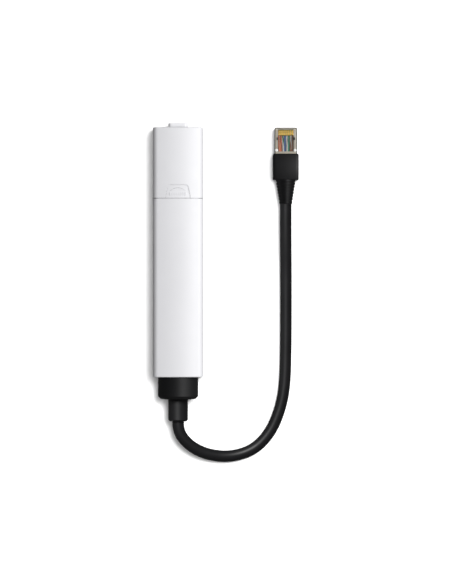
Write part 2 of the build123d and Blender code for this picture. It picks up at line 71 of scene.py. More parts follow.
camera = bpy.data.objects.new("camera", bpy.data.cameras.new("camera"))
bpy.context.scene.collection.objects.link(camera)
camera.data.sensor_width = SENSOR
camera.data.lens = SENSOR * CAMERA_DISTANCE / VIEW_HEIGHT
camera.data.clip_end = 20
camera.location = VIEW_CENTRE + Vector((0, 0, CAMERA_DISTANCE))
bpy.context.scene.camera = camera

# ---- the lead ------------------------------------------------------------------------------------

# The route's control points: out of the neck, down to the table round the U, up to the boot.
CABLE_DIAMETER = 6 * MM
cable_route = [
    (0, -77.2, 12.0),
    (0, -81.0, 11.9),
    (2.3, -86.1, 11.2),
    (7.8, -91.2, 9.6),
    (15.9, -94.8, 6.9),
    (27.2, -96.0, 4.2),
    (39.2, -92.4, 3.1),
    (47.6, -83.8, 3.05),
    (52.6, -72.6, 3.05),
    (55.4, -60.0, 3.05),
    (56.0, -40.0, 3.1),
    (56.05, -2.0, 4.0),
    (55.85, 18.0, 6.7),
    (55.85, 35.5, 7.2),
]


def nurbs_tube(name, points, radius, resolution=16):
    """A round tube along one open NURBS spline with those control points, in millimetres."""
    curve = bpy.data.curves.new(name, "CURVE")
    curve.dimensions = "3D"
    # the points' own radius sets the tube's, so that the curve's bounding box stays tight
    curve.bevel_depth = 1.0 if radius else 0.0
    curve.bevel_resolution = 8
    curve.use_fill_caps = True
    spline = curve.splines.new("NURBS")
    spline.points.add(len(points) - 1)
    for point, place in zip(spline.points, points):
        point.co = (*(Vector(place) * MM), 1)
        point.radius = radius
    spline.order_u = 3
    spline.use_endpoint_u = True
    spline.resolution_u = resolution
    obj = bpy.data.objects.new(name, curve)
    bpy.context.scene.collection.objects.link(obj)
    return obj


cable = nurbs_tube("lead_cable", cable_route, CABLE_DIAMETER / 2)
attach(cable, "stick")
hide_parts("cable")

# ---- materials -----------------------------------------------------------------------------------


class Maker:
    """Adds and joins nodes of one material."""

    def __init__(self, name):
        self.material = bpy.data.materials.new(name)
        self.material.use_nodes = True
        self.tree = self.material.node_tree
        self.shader = self.tree.nodes["Principled BSDF"]
        self.coords = self.tree.nodes.new("ShaderNodeTexCoord").outputs["Object"]
        self.bumped = None

    def node(self, kind, **settings):
        made = self.tree.nodes.new(kind)
        for key, value in settings.items():
            setattr(made, key, value)
        return made

    def link(self, out, into):
        self.tree.links.new(out, into)

    def stretched(self, scale, turn=(0, 0, 0)):
        """Object coordinates turned and scaled by an amount for each axis, for drawn-out patterns."""
        mapping = self.node("ShaderNodeMapping")
        mapping.inputs["Scale"].default_value = scale
        mapping.inputs["Rotation"].default_value = turn
        self.link(self.coords, mapping.inputs["Vector"])
        return mapping.outputs["Vector"]

    def noise(self, scale, detail=3.0, vector=None):
        """Fine noise in object space; scale is in waves per metre."""
        made = self.node("ShaderNodeTexNoise")
        made.inputs["Scale"].default_value = scale
        made.inputs["Detail"].default_value = detail
        self.link(vector or self.coords, made.inputs["Vector"])
        return made.outputs["Fac"]

    def ramp(self, fac, *stops):
        """A colour from a value, through stops of (place, colour)."""
        made = self.node("ShaderNodeValToRGB")
        while len(made.color_ramp.elements) < len(stops):
            made.color_ramp.elements.new(0.5)
        for element, (place, colour) in zip(made.color_ramp.elements, stops):
            element.position = place
            element.color = (*colour, 1)
        self.link(fac, made.inputs["Fac"])
        return made.outputs["Color"]

    def mixed(self, fac, first, second):
        """One colour over another, by a value."""
        made = self.node("ShaderNodeMix", data_type="RGBA")
        self.link(fac, made.inputs["Factor"])
        self.link(first, made.inputs[6])
        self.link(second, made.inputs[7])
        return made.outputs[2]

    def colour(self, out):
        self.link(out, self.shader.inputs["Base Color"])

    def spread(self, fac, low, high, socket):
        """Drive a shader's socket from a value, between two limits."""
        made = self.node("ShaderNodeMapRange")
        made.inputs["To Min"].default_value = low
        made.inputs["To Max"].default_value = high
        self.link(fac, made.inputs["Value"])
        self.link(made.outputs["Result"], self.shader.inputs[socket])

    def bump(self, height, distance, strength=1.0):
        """Bump from a value, stacked on any bump added before."""
        made = self.node("ShaderNodeBump")
        made.inputs["Distance"].default_value = distance
        made.inputs["Strength"].default_value = strength
        self.link(height, made.inputs["Height"])
        if self.bumped:
            self.link(self.bumped, made.inputs["Normal"])
        self.bumped = made.outputs["Normal"]
        self.link(self.bumped, self.shader.inputs["Normal"])

    def set(self, **values):
        """Plain values on the shader's own sockets, with underscores for the spaces in their names."""
        for key, value in values.items():
            self.shader.inputs[key.replace("_", " ")].default_value = value


def tint(colour, factor):
    """A colour made lighter or darker."""
    return tuple(min(1.0, channel * factor) for channel in colour)


def moulded(name, colour, low, high, grain=2500, grain_depth=0.01 * MM, contrast=0.04, gloss=0.5):
    """Moulded plastic or rubber: faint cloudy colour, uneven sheen and a fine grain."""
    m = Maker(name)
    cloud = m.noise(60, 4)
    m.colour(m.ramp(cloud, (0.3, tint(colour, 1 - contrast)), (0.7, tint(colour, 1 + contrast))))
    m.spread(m.noise(240, 5), low, high, "Roughness")
    m.bump(m.noise(grain, 2), grain_depth)
    m.set(Specular_IOR_Level=gloss)
    return m.material


def metal(name, colour, low, high, streaks=(1, 1, 1), **values):
    """Plated or rolled metal: faint drawn-out streaks in its colour and sheen."""
    m = Maker(name)
    drawn = m.noise(900, 4, m.stretched(streaks))
    m.colour(m.ramp(drawn, (0.25, tint(colour, 0.82)), (0.75, tint(colour, 1.08))))
    m.spread(m.noise(500, 3), low, high, "Roughness")
    m.bump(drawn, 0.006 * MM)
    m.set(Metallic=1.0, **values)
    return m.material


def wire_insulation(name, colour):
    """Glossy insulation with a slightly uneven colour and skin."""
    m = Maker(name)
    m.colour(m.ramp(m.noise(300, 3), (0.3, tint(colour, 0.86)), (0.7, tint(colour, 1.06))))
    m.spread(m.noise(700, 3), 0.30, 0.42, "Roughness")
    m.bump(m.noise(1500, 2), 0.01 * MM)
    return m.material


def clear_plastic(name, face, edge, thin, thick):
    """Clear polycarbonate: nearly open face on, darker and denser where a surface turns away."""
    m = Maker(name)
    turned = m.node("ShaderNodeLayerWeight")
    turned.inputs["Blend"].default_value = 0.35
    flow = m.noise(350, 3, m.stretched((1, 0.3, 1)))
    cloudy = m.ramp(flow, (0.3, tint(face, 0.93)), (0.7, tint(face, 1.05)))
    darkened = m.ramp(flow, (0.3, tint(edge, 0.9)), (0.7, edge))
    weight = m.ramp(turned.outputs["Facing"], (0.04, (0, 0, 0)), (0.2, (1, 1, 1)))
    m.colour(m.mixed(weight, cloudy, darkened))
    m.spread(weight, thin, thick, "Alpha")
    m.spread(flow, 0.10, 0.22, "Roughness")
    m.bump(flow, 0.02 * MM)
    return m.material


def circuit_board(name, mask, copper):
    """Solder mask over copper: straight tracks that change lane, and a field of plated holes."""
    m = Maker(name)
    tracks = m.node("ShaderNodeTexBrick", offset=0.37, squash=1.0)
    tracks.inputs["Scale"].default_value = 1.0
    tracks.inputs["Brick Width"].default_value = 5.2 * MM
    tracks.inputs["Row Height"].default_value = 0.9 * MM
    tracks.inputs["Mortar Size"].default_value = 0.12 * MM
    tracks.inputs["Mortar Smooth"].default_value = 0.1
    m.link(m.stretched((1, 1, 1), (0, 0, math.radians(90))), tracks.inputs["Vector"])
    holes = m.node("ShaderNodeTexVoronoi")
    holes.inputs["Scale"].default_value = 420
    holes.inputs["Randomness"].default_value = 0.85
    m.link(m.stretched((1, 1, 0)), holes.inputs["Vector"])
    green = m.ramp(m.noise(180, 3), (0.3, tint(mask, 0.8)), (0.7, tint(mask, 1.15)))
    raised = m.ramp(m.noise(180, 3), (0.3, tint(mask, 1.5)), (0.7, tint(mask, 2.0)))
    plated = m.ramp(m.noise(400, 3), (0.3, tint(copper, 0.8)), (0.7, copper))
    spot = m.ramp(holes.outputs["Distance"], (0.10, (1, 1, 1)), (0.13, (0, 0, 0)))
    m.colour(m.mixed(spot, m.mixed(tracks.outputs["Fac"], green, raised), plated))
    m.spread(m.noise(600, 3), 0.28, 0.42, "Roughness")
    m.bump(tracks.outputs["Fac"], 0.03 * MM)
    m.bump(spot, 0.02 * MM)
    return m.material


def ceramic_chip(name, body, glaze):
    """Small ceramic parts: a speckled body under a faint glaze."""
    m = Maker(name)
    m.colour(m.ramp(m.noise(1400, 4), (0.3, tint(body, 0.75)), (0.7, tint(body, 1.15))))
    m.spread(m.noise(900, 3), 0.35, 0.55, "Roughness")
    m.bump(m.noise(2600, 3), 0.015 * MM)
    m.set(Coat_Weight=glaze)
    return m.material


WHITE = (0.86, 0.86, 0.885)
BLACK = (0.0105, 0.0105, 0.0115)
ORANGE = (0.74, 0.17, 0.055)
GREEN = (0.03, 0.28, 0.15)
BLUE = (0.06, 0.15, 0.42)
BROWN = (0.34, 0.14, 0.06)
CREAM = (0.80, 0.80, 0.75)

materials = {
    "white_shell": moulded("white_shell", WHITE, 0.34, 0.44, 3200, 0.006 * MM, 0.012),
    # painted shade: the white shell darkened, for the shade line along the arrowhead's upper edge
    "painted_shade_edge": moulded("painted_shade_edge", tint(WHITE, 0.62), 0.4, 0.5, 3200, 0.006 * MM, 0.02),
    "white_button": moulded("white_button", WHITE, 0.30, 0.38, 3200, 0.005 * MM, 0.012),
    "black_collar": moulded("black_collar", BLACK, 0.50, 0.60, 2600, 0.012 * MM, 0.15, 0.32),
    "black_rubber": moulded("black_rubber", BLACK, 0.42, 0.52, 2200, 0.02 * MM, 0.2, 0.42),
    "cable_jacket": moulded("cable_jacket", BLACK, 0.36, 0.46, 1800, 0.02 * MM, 0.2, 0.34),
    "boot_rubber": moulded("boot_rubber", tint(BLACK, 0.8), 0.36, 0.44, 2400, 0.02 * MM, 0.2, 0.24),
    "seal_rubber": moulded("seal_rubber", (0.02, 0.02, 0.022), 0.5, 0.62, 1800, 0.02 * MM, 0.2),
    "clear_plug": clear_plastic("clear_plug", (0.62, 0.57, 0.47), (0.03, 0.034, 0.026), 0.66, 0.98),
    "clear_window": clear_plastic("clear_window", (0.70, 0.70, 0.66), (0.10, 0.10, 0.09), 0.04, 0.5),
    # painted highlight: near white, for the glints on the clear bosses in the plug's rear corners
    "painted_highlight_post": moulded("painted_highlight_post", (0.90, 0.90, 0.88), 0.2, 0.3, 2000, 0.005 * MM, 0.02),
    "pale_rail": moulded("pale_rail", (0.56, 0.50, 0.39), 0.3, 0.45, 2000, 0.01 * MM, 0.08),
    # painted shade: near black, for lugs that stand in for the shade in notches of the plug's walls
    "painted_shade_lug": moulded("painted_shade_lug", (0.014, 0.014, 0.011), 0.35, 0.5, 2000, 0.01 * MM, 0.1),
    "clear_latch": clear_plastic("clear_latch", (0.70, 0.69, 0.63), (0.10, 0.10, 0.09), 0.40, 0.90),
    "clear_bar": moulded("clear_bar", (0.12, 0.085, 0.05), 0.3, 0.45, 1500, 0.02 * MM, 0.15),
    "contact_gold": metal("contact_gold", (0.70, 0.44, 0.11), 0.40, 0.52, (4, 1, 1)),
    "contact_amber": moulded("contact_amber", (0.26, 0.26, 0.08), 0.3, 0.45, 2000, 0.01 * MM, 0.2),
    "tinned_metal": metal("tinned_metal", (0.70, 0.69, 0.66), 0.22, 0.36, (1, 1, 1)),
    "nut_metal": metal("nut_metal", (0.62, 0.60, 0.55), 0.28, 0.42, (1, 6, 1)),
    "clamp_metal": metal("clamp_metal", (0.66, 0.67, 0.68), 0.26, 0.40, (1, 6, 1)),
    "shield_metal": metal("shield_metal", (0.70, 0.70, 0.69), 0.30, 0.44, (1, 0.15, 1)),
    "crystal_can": metal("crystal_can", (0.74, 0.73, 0.70), 0.24, 0.36, (1, 0.2, 1)),
    "capacitor_can": metal("capacitor_can", (0.72, 0.73, 0.75), 0.30, 0.42, (1, 1, 0.1)),
    "board_green": circuit_board("board_green", (0.012, 0.10, 0.035), (0.80, 0.55, 0.20)),
    "module_board": circuit_board("module_board", (0.010, 0.035, 0.085), (0.80, 0.55, 0.20)),
    "antenna_ceramic": moulded("antenna_ceramic", (0.55, 0.62, 0.60), 0.3, 0.5, 3000, 0.01 * MM, 0.08),
    "header_plastic": moulded("header_plastic", (0.72, 0.68, 0.58), 0.4, 0.55, 2600, 0.012 * MM, 0.05),
    "transformer_plastic": moulded("transformer_plastic", (0.018,) * 3, 0.42, 0.6, 3200, 0.02 * MM, 0.2),
    "ferrite": moulded("ferrite", (0.055, 0.055, 0.06), 0.5, 0.75, 3600, 0.03 * MM, 0.25),
    "chip_black": moulded("chip_black", (0.016, 0.016, 0.018), 0.48, 0.66, 4200, 0.02 * MM, 0.2),
    "led_clear": clear_plastic("led_clear", (0.80, 0.84, 0.80), (0.35, 0.38, 0.36), 0.75, 0.95),
    "passive_ceramic": ceramic_chip("passive_ceramic", (0.34, 0.25, 0.17), 0.1),
    "switch_plastic": moulded("switch_plastic", (0.03, 0.03, 0.032), 0.4, 0.55, 3000, 0.015 * MM, 0.15),
    "plunger_plastic": moulded("plunger_plastic", (0.60, 0.58, 0.52), 0.35, 0.5, 3000, 0.012 * MM, 0.05),
    "wire_orange": wire_insulation("wire_orange", ORANGE),
    "wire_green": wire_insulation("wire_green", GREEN),
    "wire_blue": wire_insulation("wire_blue", BLUE),
    "wire_brown": wire_insulation("wire_brown", BROWN),
    "wire_cream": wire_insulation("wire_cream", CREAM),
}


def dress(obj, slot, material=None):
    """Give an object its material: the one given, or else the one for the record's slot that it belongs to.
    """
    obj.data.materials.clear()
    obj.data.materials.append(material or materials.get(slot))


dress(cable, "cable_jacket")

# ---- mesh helpers: sizes and places in millimetres --------------------------------------------------


def place(name, bm, slot, body="stick", stands_for=(), sharp=32, material=None):
    """Turn a bmesh in millimetres into a finished piece that rides on a body."""
    bmesh.ops.scale(bm, vec=(MM, MM, MM), verts=bm.verts)
    bmesh.ops.recalc_face_normals(bm, faces=bm.faces)
    mesh = bpy.data.meshes.new(name)
    bm.to_mesh(mesh)
    bm.free()
    mesh.shade_smooth()
    mesh.set_sharp_from_angle(angle=math.radians(sharp))
    obj = bpy.data.objects.new(name, mesh)
    bpy.context.scene.collection.objects.link(obj)
    dress(obj, slot, material)
    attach(obj, body)
    if stands_for:
        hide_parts(*stands_for)
    return obj


def block(bm, low, high, rounding=0.0, segments=2):
    """Add a box to a bmesh, with rounded edges if asked."""
    made = bmesh.ops.create_cube(bm, size=1)["verts"]
    for vert in made:
        vert.co = [(a + b) / 2 + c * (b - a) for a, b, c in zip(low, high, vert.co)]
    if rounding:
        edges = list({edge for vert in made for edge in vert.link_edges})
        bmesh.ops.bevel(
            bm,
            geom=edges,
            offset=rounding,
            segments=segments,
            profile=0.5,
            affect="EDGES",
            clamp_overlap=True,
        )


def ring_faces(bm, rings, closed=False):
    """Join rings of vertices with the same count by quads, and the last to the first if closed."""
    count = len(rings[0])
    pairs = list(zip(rings, rings[1:]))
    if closed:
        pairs.append((rings[-1], rings[0]))
    for ring, after in pairs:
        for i in range(count):
            bm.faces.new((ring[i], ring[(i + 1) % count], after[(i + 1) % count], after[i]))


def loft(bm, sections, closed=False):
    """A skin through lists of points; open ends are capped."""
    rings = [[bm.verts.new(point) for point in section] for section in sections]
    ring_faces(bm, rings, closed)
    if not closed:
        bm.faces.new(rings[0])
        bm.faces.new(rings[-1])


def carve(obj, cutters):
    """Cut closed solids, given as bmeshes in millimetres, out of an object for good."""
    for number, bm in enumerate(cutters):
        bmesh.ops.scale(bm, vec=(MM, MM, MM), verts=bm.verts)
        bmesh.ops.recalc_face_normals(bm, faces=bm.faces)
        mesh = bpy.data.meshes.new(f"cutter_{number}")
        bm.to_mesh(mesh)
        bm.free()
        tool = bpy.data.objects.new(mesh.name, mesh)
        bpy.context.scene.collection.objects.link(tool)
        cut = obj.modifiers.new("cut", "BOOLEAN")
        cut.operation = "DIFFERENCE"
        cut.solver = "EXACT"
        cut.object = tool
        bpy.context.view_layer.update()
        result = bpy.data.meshes.new_from_object(obj.evaluated_get(bpy.context.evaluated_depsgraph_get()))
        obj.modifiers.remove(cut)
        material = obj.data.materials[0]
        obj.data = result
        obj.data.materials.clear()
        obj.data.materials.append(material)
        bpy.data.objects.remove(tool)
    obj.data.shade_smooth()
    obj.data.set_sharp_from_angle(angle=math.radians(32))


def node_box(name):
    """A CAD node's lowest and highest corners in millimetres."""
    low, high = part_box(name)
    return low / MM, high / MM


# ---- plug on the lead ------------------------------------------------------------------------------

plug_low, plug_high = node_box("plug_body")
contact_low, contact_high = node_box("plug_contacts")
bar_low, bar_high = node_box("plug_load_bar")
hood_low, hood_high = node_box("plug_boot")
jacket_high = node_box("cable_plug_end")[1]
wire_boxes = [node_box(f"plug_wire_{number}") for number in range(1, 9)]
WIRE_COUNT = 8
WIRE_RADIUS = (wire_boxes[0][1].x - wire_boxes[0][0].x) / 2
PLUG_X = (plug_low.x + plug_high.x) / 2
PLUG_Z = (plug_low.z + plug_high.z) / 2
WIRE_Z = (wire_boxes[0][0].z + wire_boxes[0][1].z) / 2
wire_x = [(low.x + high.x) / 2 for low, high in wire_boxes]
CONTACT_FRONT = contact_high.y + 0.45


def plug_shell():
    """Clear moulding: rounded box with a wire room, a contact slot and a sunk window over the wires."""
    wall = 1.15
    roof = 0.5
    room_high_y = contact_low.y - 0.1
    jacket_room_high_y, jacket_room_wall = plug_low.y + 7.96, 0.4
    plan_corner, rim_chamfer = 0.8, 0.42
    slot_margin = 0.4
    window = 4.1
    window_low_y, window_high_y, window_depth = plug_low.y + 9.06, contact_low.y - 0.2, 0.12
    bm = bmesh.new()
    block(bm, plug_low, plug_high)
    upright = [edge for edge in bm.edges if abs(edge.verts[0].co.z - edge.verts[1].co.z) > 1]
    bmesh.ops.bevel(bm, geom=upright, offset=plan_corner, segments=4, profile=0.5, affect="EDGES")
    rims = [edge for edge in bm.edges if abs(edge.verts[0].co.z - edge.verts[1].co.z) < 0.01]
    bmesh.ops.bevel(bm, geom=rims, offset=rim_chamfer, segments=1, affect="EDGES")
    made = place("plug_shell", bm, "clear_plug", stands_for=["plug_body"])
    cutters = []
    for low_z, high_z, high_y in (
        (bar_low.z - 0.1, plug_high.z - roof, room_high_y),
        (plug_low.z + jacket_room_wall, plug_high.z - jacket_room_wall, jacket_room_high_y),
    ):
        room = bmesh.new()
        block(room, (plug_low.x + wall, plug_low.y - 1, low_z), (plug_high.x - wall, high_y, high_z))
        cutters.append(room)
    slots = bmesh.new()
    block(
        slots,
        (wire_x[0] - slot_margin, contact_low.y - 0.2, WIRE_Z - WIRE_RADIUS - 0.05),
        (wire_x[-1] + slot_margin, CONTACT_FRONT + 0.2, plug_high.z + 1),
    )
    cutters.append(slots)
    sunk = bmesh.new()
    block(
        sunk,
        (PLUG_X - window, window_low_y, plug_high.z - window_depth),
        (PLUG_X + window, window_high_y, plug_high.z + 1),
    )
    cutters.append(sunk)
    carve(made, cutters)
    # the thin sunk roof over the wires is clearer than the thick walls
    made.data.materials.append(materials["clear_window"])
    for face in made.data.polygons:
        x, y, z = face.center / MM
        over_wires = abs(x - PLUG_X) < window and window_low_y < y < window_high_y and z > WIRE_Z
        below_top = z < plug_high.z - window_depth / 2
        face.material_index = int(over_wires and below_top and abs(face.normal.z) > 0.9)
    return made


def gold_contacts():
    """Eight blades with a rounded nose corner and two crimp points that reach towards the wire."""
    rear, front = contact_low.y, CONTACT_FRONT
    top, foot = contact_high.z, contact_low.z
    half = 0.33
    corner = 0.4
    outline = [(rear, foot), (rear, top - 0.15), (rear + 0.15, top)]
    outline += [
        (front - corner + corner * math.sin(turn), top - corner + corner * math.cos(turn))
        for turn in (math.radians(step) for step in range(0, 91, 15))
    ]
    outline += [(front, foot), (front - 0.7, foot + 0.25), (front - 1.25, foot), (front - 1.8, foot + 0.25)]
    bm = bmesh.new()
    for x in wire_x:
        loft(bm, [[(x + side * half, y, z) for y, z in outline] for side in (-1, 1)])
    edges = [edge for edge in bm.edges if abs(edge.verts[0].co.x - edge.verts[1].co.x) < 0.01]
    bmesh.ops.bevel(bm, geom=edges, offset=0.06, segments=1, affect="EDGES", clamp_overlap=True)
    return place("gold_contacts", bm, "contact_gold", stands_for=["plug_contacts"])


def contact_ribs():
    """The amber-looking ribs of the moulding between the contacts."""
    half, overhang, sunk = 0.17, 0.15, 0.06
    bm = bmesh.new()
    for left, right in zip(wire_x, wire_x[1:]):
        x = (left + right) / 2
        block(
            bm,
            (x - half, contact_low.y - overhang, WIRE_Z + WIRE_RADIUS + 0.1),
            (x + half, CONTACT_FRONT + overhang, plug_high.z - sunk),
            0.04,
            1,
        )
    return place("contact_ribs", bm, "clear_plug", material=materials["contact_amber"])


# the stripe of each white wire: colour, then in degrees where it faces at the jacket, its turn for each
# millimetre, and half its width
STRIPES = {
    0: ("wire_orange", 70, 3, 62),
    2: ("wire_green", -158, 20, 42),
    4: ("wire_blue", 190, -3, 34),
    6: ("wire_brown", 26, 13, 72),
}
WIRE_SLOTS = (
    "wire_white_orange",
    "wire_orange",
    "wire_white_green",
    "wire_blue",
    "wire_white_blue",
    "wire_green",
    "wire_white_brown",
    "wire_brown",
)


def wire_path(number):
    """Control points of one wire: out of the jacket, bowed out under the window, in under its contact."""
    x = wire_x[number]
    out = (x - PLUG_X) / (wire_x[-1] - PLUG_X)
    wander = (0.10, -0.12, 0.16, -0.05, 0.12, -0.14, 0.06, -0.10)[number]
    lift = (0.05, -0.12, 0.10, 0.02, 0.12, -0.06, 0.10, 0.0)[number]
    low, high = wire_boxes[number]
    return [
        (PLUG_X + out * 2.6, low.y, WIRE_Z - 0.5),
        (PLUG_X + out * 3.0, low.y + 2.4, WIRE_Z - 0.25),
        (x - out * 0.15 + wander, low.y + 5.0, WIRE_Z + lift),
        (x + out * 0.12 + wander, low.y + 8.0, WIRE_Z + lift),
        (x - out * 0.10 - wander, low.y + 10.6, WIRE_Z + 0.06),
        (x, low.y + 12.6, WIRE_Z),
        (x, high.y, WIRE_Z),
    ]


def plug_wires():
    """Eight insulated wires along NURBS lines; four are white with a coloured stripe that turns slowly."""
    made = []
    around = 24
    for number in range(WIRE_COUNT):
        line = nurbs_tube("line", wire_path(number), 0, 20)
        bpy.context.view_layer.update()
        path = bpy.data.meshes.new_from_object(line.evaluated_get(bpy.context.evaluated_depsgraph_get()))
        centres = [vert.co / MM for vert in path.vertices]
        bpy.data.objects.remove(line)
        bm = bmesh.new()
        turns = [2 * math.pi * (step + 0.5) / around for step in range(around)]
        sections = [
            [(c.x + WIRE_RADIUS * math.cos(t), c.y, c.z + WIRE_RADIUS * math.sin(t)) for t in turns]
            for c in centres
        ]
        loft(bm, sections)
        name = f"insulated_wire_{number + 1}"
        wire = place(name, bm, WIRE_SLOTS[number], stands_for=[f"plug_wire_{number + 1}"], sharp=60)
        if number in STRIPES:
            stripe, start, twist, half_width = STRIPES[number]
            wire.data.materials.clear()
            wire.data.materials.append(materials["wire_cream"])
            wire.data.materials.append(materials[stripe])
            for face in wire.data.polygons:
                x, y, z = face.center / MM
                near = min(centres, key=lambda c: abs(c.y - y))
                turn = math.atan2(z - near.z, x - near.x)
                middle = math.radians(start + twist * (y - centres[0].y))
                away = (turn - middle + math.pi) % (2 * math.pi) - math.pi
                face.material_index = int(abs(away) < math.radians(half_width))
        made.append(wire)
    return made


def wire_tray():
    """Load bar under the wires: a tray with a low ridge between each two wires and a lip at each end."""
    reach, lip = 4.5, 0.6
    ridge_half, ridge_end = 0.08, 0.3
    bm = bmesh.new()
    block(bm, (PLUG_X - reach, bar_low.y, bar_low.z), (PLUG_X + reach, bar_high.y, bar_high.z - 0.15), 0.1)
    for number in range(WIRE_COUNT + 1):
        x = wire_x[0] + (number - 0.5) * (wire_x[1] - wire_x[0])
        foot = (x - ridge_half, bar_low.y + ridge_end, bar_high.z - 0.3)
        block(bm, foot, (x + ridge_half, bar_high.y - ridge_end, bar_high.z), 0.05, 1)
    for y in (bar_low.y, bar_high.y - lip):
        block(bm, (PLUG_X - reach, y, bar_low.z), (PLUG_X + reach, y + lip, bar_high.z - 0.02), 0.08)
    return place("wire_tray", bm, "clear_bar", stands_for=["plug_load_bar"])


def notch_shade_lugs():
    """Painted shade: two near-black lugs in the side walls behind the contacts, standing in for the shade in
    moulded notches there, and a dark fin behind each.
    """
    off_centre = 4.42
    lug_half, lug_low_y, lug_high_y, proud = 0.42, plug_high.y - 6.5, plug_high.y - 5.1, 0.04
    fin_half, fin_low_y, fin_high_y, fin_sunk = 0.14, plug_high.y - 10.5, plug_high.y - 7.2, 0.7
    bm = bmesh.new()
    for side in (-1, 1):
        x = PLUG_X + side * off_centre
        lug_top, fin_top = plug_high.z + proud, plug_high.z - fin_sunk
        block(bm, (x - lug_half, lug_low_y, bar_low.z), (x + lug_half, lug_high_y, lug_top), 0.05)
        block(bm, (x - fin_half, fin_low_y, bar_low.z), (x + fin_half, fin_high_y, fin_top), 0.06)
    return place("notch_shade_lugs", bm, "clear_bar", material=materials["painted_shade_lug"])


def plug_posts():
    """Two round bosses in the rear corners of the plug's upper face, near white: painted highlight, for the
    glints on these clear bosses.
    """
    off_centre, boss_y = 4.8, plug_high.y - 11.75
    bm = bmesh.new()
    heights = (plug_low.z + 0.6, plug_high.z + 0.02, plug_high.z + 0.1, plug_high.z + 0.15)
    for side in (-1, 1):
        x = PLUG_X + side * off_centre
        rings = []
        for radius, height in zip((0.76, 0.76, 0.66, 0.35), heights):
            turns = [2 * math.pi * step / 24 for step in range(24)]
            rings.append([(x + radius * math.cos(t), boss_y + radius * math.sin(t), height) for t in turns])
        loft(bm, rings)
    return place("plug_posts", bm, "clear_plug", material=materials["painted_highlight_post"])


def plug_rail():
    """Rail across the plug between the wire window and the boot."""
    half, low_y, high_y = 4.5, plug_high.y - 13.35, plug_high.y - 12.55
    bm = bmesh.new()
    block(bm, (PLUG_X - half, low_y, plug_high.z - 1.4), (PLUG_X + half, high_y, plug_high.z - 0.1), 0.15)
    return place("plug_rail", bm, "clear_bar", material=materials["pale_rail"])


def hood_section(y, inset, crown=0.3, count=96):
    """Points round the hood at y: straight sides with small corners and a slightly crowned top."""
    half_x = (hood_high.x - hood_low.x) / 2 - inset
    low, high = hood_low.z + inset, hood_high.z - inset
    middle, half_z = (low + high) / 2, (high - low) / 2
    corner = 0.75
    points = []
    for step in range(count):
        turn = 2 * math.pi * (step + 0.5) / count
        c, s = math.cos(turn), math.sin(turn)
        reach = 1 / max(abs(c) / half_x, abs(s) / half_z)
        x, z = c * reach, s * reach
        # round the corners off, where both coordinates are near their limits
        over_x, over_z = abs(x) - (half_x - corner), abs(z) - (half_z - corner)
        if over_x > 0 and over_z > 0:
            length = math.hypot(over_x, over_z)
            shrink = corner / length if length else 1
            x = math.copysign(half_x - corner + over_x * shrink, x)
            z = math.copysign(half_z - corner + over_z * shrink, z)
        if z > 0:
            z -= crown * (x / half_x) ** 2 * (z / half_z)
        points.append((PLUG_X + x, y, middle + z))
    return points


def round_section(y, radius, count=96):
    """Points round the tail at y, in the same order as the hood's."""
    turns = [2 * math.pi * (step + 0.5) / count for step in range(count)]
    return [(PLUG_X + radius * math.cos(turn), y, PLUG_Z + radius * math.sin(turn)) for turn in turns]


def pocket_section(y, clearance, count=96):
    """Points round the plug's own outline at y, a little larger than the plug."""
    half_x = (plug_high.x - plug_low.x) / 2 + clearance
    half_z = (plug_high.z - plug_low.z) / 2 + clearance
    points = []
    for step in range(count):
        turn = 2 * math.pi * (step + 0.5) / count
        c, s = math.cos(turn), math.sin(turn)
        reach = 1 / max(abs(c) / half_x, abs(s) / half_z)
        points.append((PLUG_X + c * reach, y, PLUG_Z + s * reach))
    return points


def moulded_boot():
    """Boot: crowned hood with a pocket for the plug, and a tapered tail with shallow grooves round it."""
    step_y = 48.0
    base, tip = 5.25, 3.3
    bore = jacket_high.x - PLUG_X + 0.03
    groove_pitch, groove_depth, groove_count = 1.6, 0.3, 7
    tip_y, front_y = hood_low.y, hood_high.y

    def tail_radius(y):
        return tip + (base - tip) * (y - tip_y) / (step_y - tip_y)

    sections = [round_section(tip_y, tip - 0.25), round_section(tip_y + 0.2, tail_radius(tip_y + 0.2))]
    grooves = [step_y - 1.2 - number * groove_pitch for number in range(groove_count)]
    for y in reversed(grooves):
        for shift, depth in ((-0.34, 0), (-0.22, 1), (0.22, 1), (0.34, 0)):
            sections.append(round_section(y + shift, tail_radius(y + shift) - depth * groove_depth))
    sections.append(round_section(step_y - 0.15, base))
    sections.append(round_section(step_y, base))
    sections.append(hood_section(step_y, 0.35))
    sections.append(hood_section(step_y + 0.12, 0.08))
    sections.append(hood_section(step_y + 0.35, 0.0))
    sections.append(hood_section(front_y - 0.7, 0.0))
    sections.append(hood_section(front_y - 0.3, 0.1))
    sections.append(hood_section(front_y, 0.45))
    sections.append(pocket_section(front_y, 0.2))
    sections.append(pocket_section(plug_low.y - 0.3, 0.2))
    sections.append(round_section(plug_low.y - 0.3, bore))
    sections.append(round_section(tip_y, bore))
    bm = bmesh.new()
    loft(bm, sections, closed=True)
    boot = place("moulded_boot", bm, "boot_rubber", stands_for=["plug_boot"], sharp=28)
    latch_slot = bmesh.new()
    block(latch_slot, (PLUG_X - 4, front_y - 5, hood_low.z - 1), (PLUG_X + 4, front_y + 1, plug_low.z))
    carve(boot, [latch_slot])
    return boot


shell = plug_shell()
contacts = gold_contacts()
ribs = contact_ribs()
tray = wire_tray()
lug_shades = notch_shade_lugs()
posts = plug_posts()
rail = plug_rail()
boot = moulded_boot()
wires = plug_wires()
plug_pieces = [shell, contacts, ribs, tray, lug_shades, posts, rail, boot, *wires]
plug_pieces += [nodes["cable_plug_end"], nodes["plug_latch"]]

# ---- stick: carried-over shells and small pieces on them -----------------------------------------------

